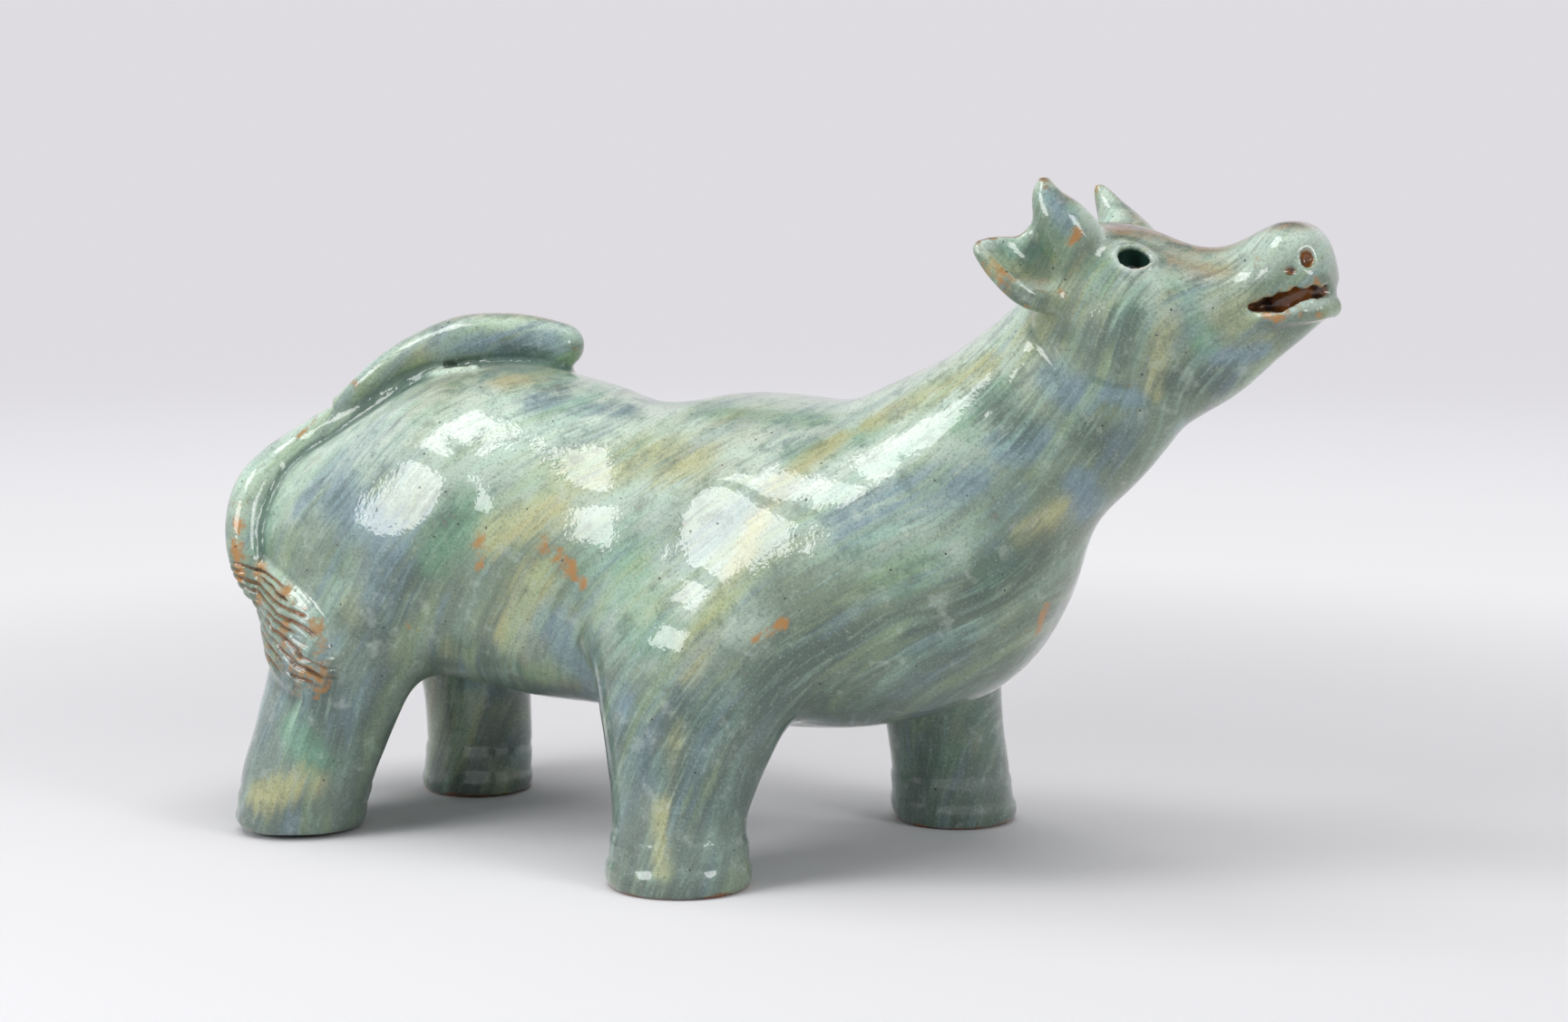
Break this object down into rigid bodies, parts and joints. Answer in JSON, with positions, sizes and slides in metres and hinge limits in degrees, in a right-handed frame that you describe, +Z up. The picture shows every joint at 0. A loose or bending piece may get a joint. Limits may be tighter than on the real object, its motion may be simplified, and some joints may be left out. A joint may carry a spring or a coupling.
{
  "type": "ceramic cow figure",
  "caption": "Standing hand-built cow in streaked green glaze, head raised and mouth open, with stubby horns, leaf-shaped ears, flared feet and a doubled coil tail laid over the rump.",
  "frame": {"origin": "the middle of the cow's length and width, on the surface that it stands on", "axes": "+X the way that the cow faces, +Y its left side, +Z up"},
  "size_m": [0.458, 0.1928, 0.2593],
  "materials": {
    "glaze": "gloss",
    "glaze_dark": "gloss",
    "glaze_thin": "gloss"
  },
  "bodies": {
    "root": {"hindquarters": "glaze", "forequarters": "glaze", "neck": "glaze", "head": "glaze", "lower_jaw": "glaze_dark", "lower_lip": "glaze", "horn_right": "glaze", "horn_left": "glaze", "ear_right": "glaze", "ear_left": "glaze", "leg_front_right": "glaze_dark", "leg_front_left": "glaze_dark", "leg_hind_right": "glaze_dark", "leg_hind_left": "glaze_dark", "tail_coil": "glaze", "tail_tuft": "glaze_thin"}
  },
  "joints": []
}
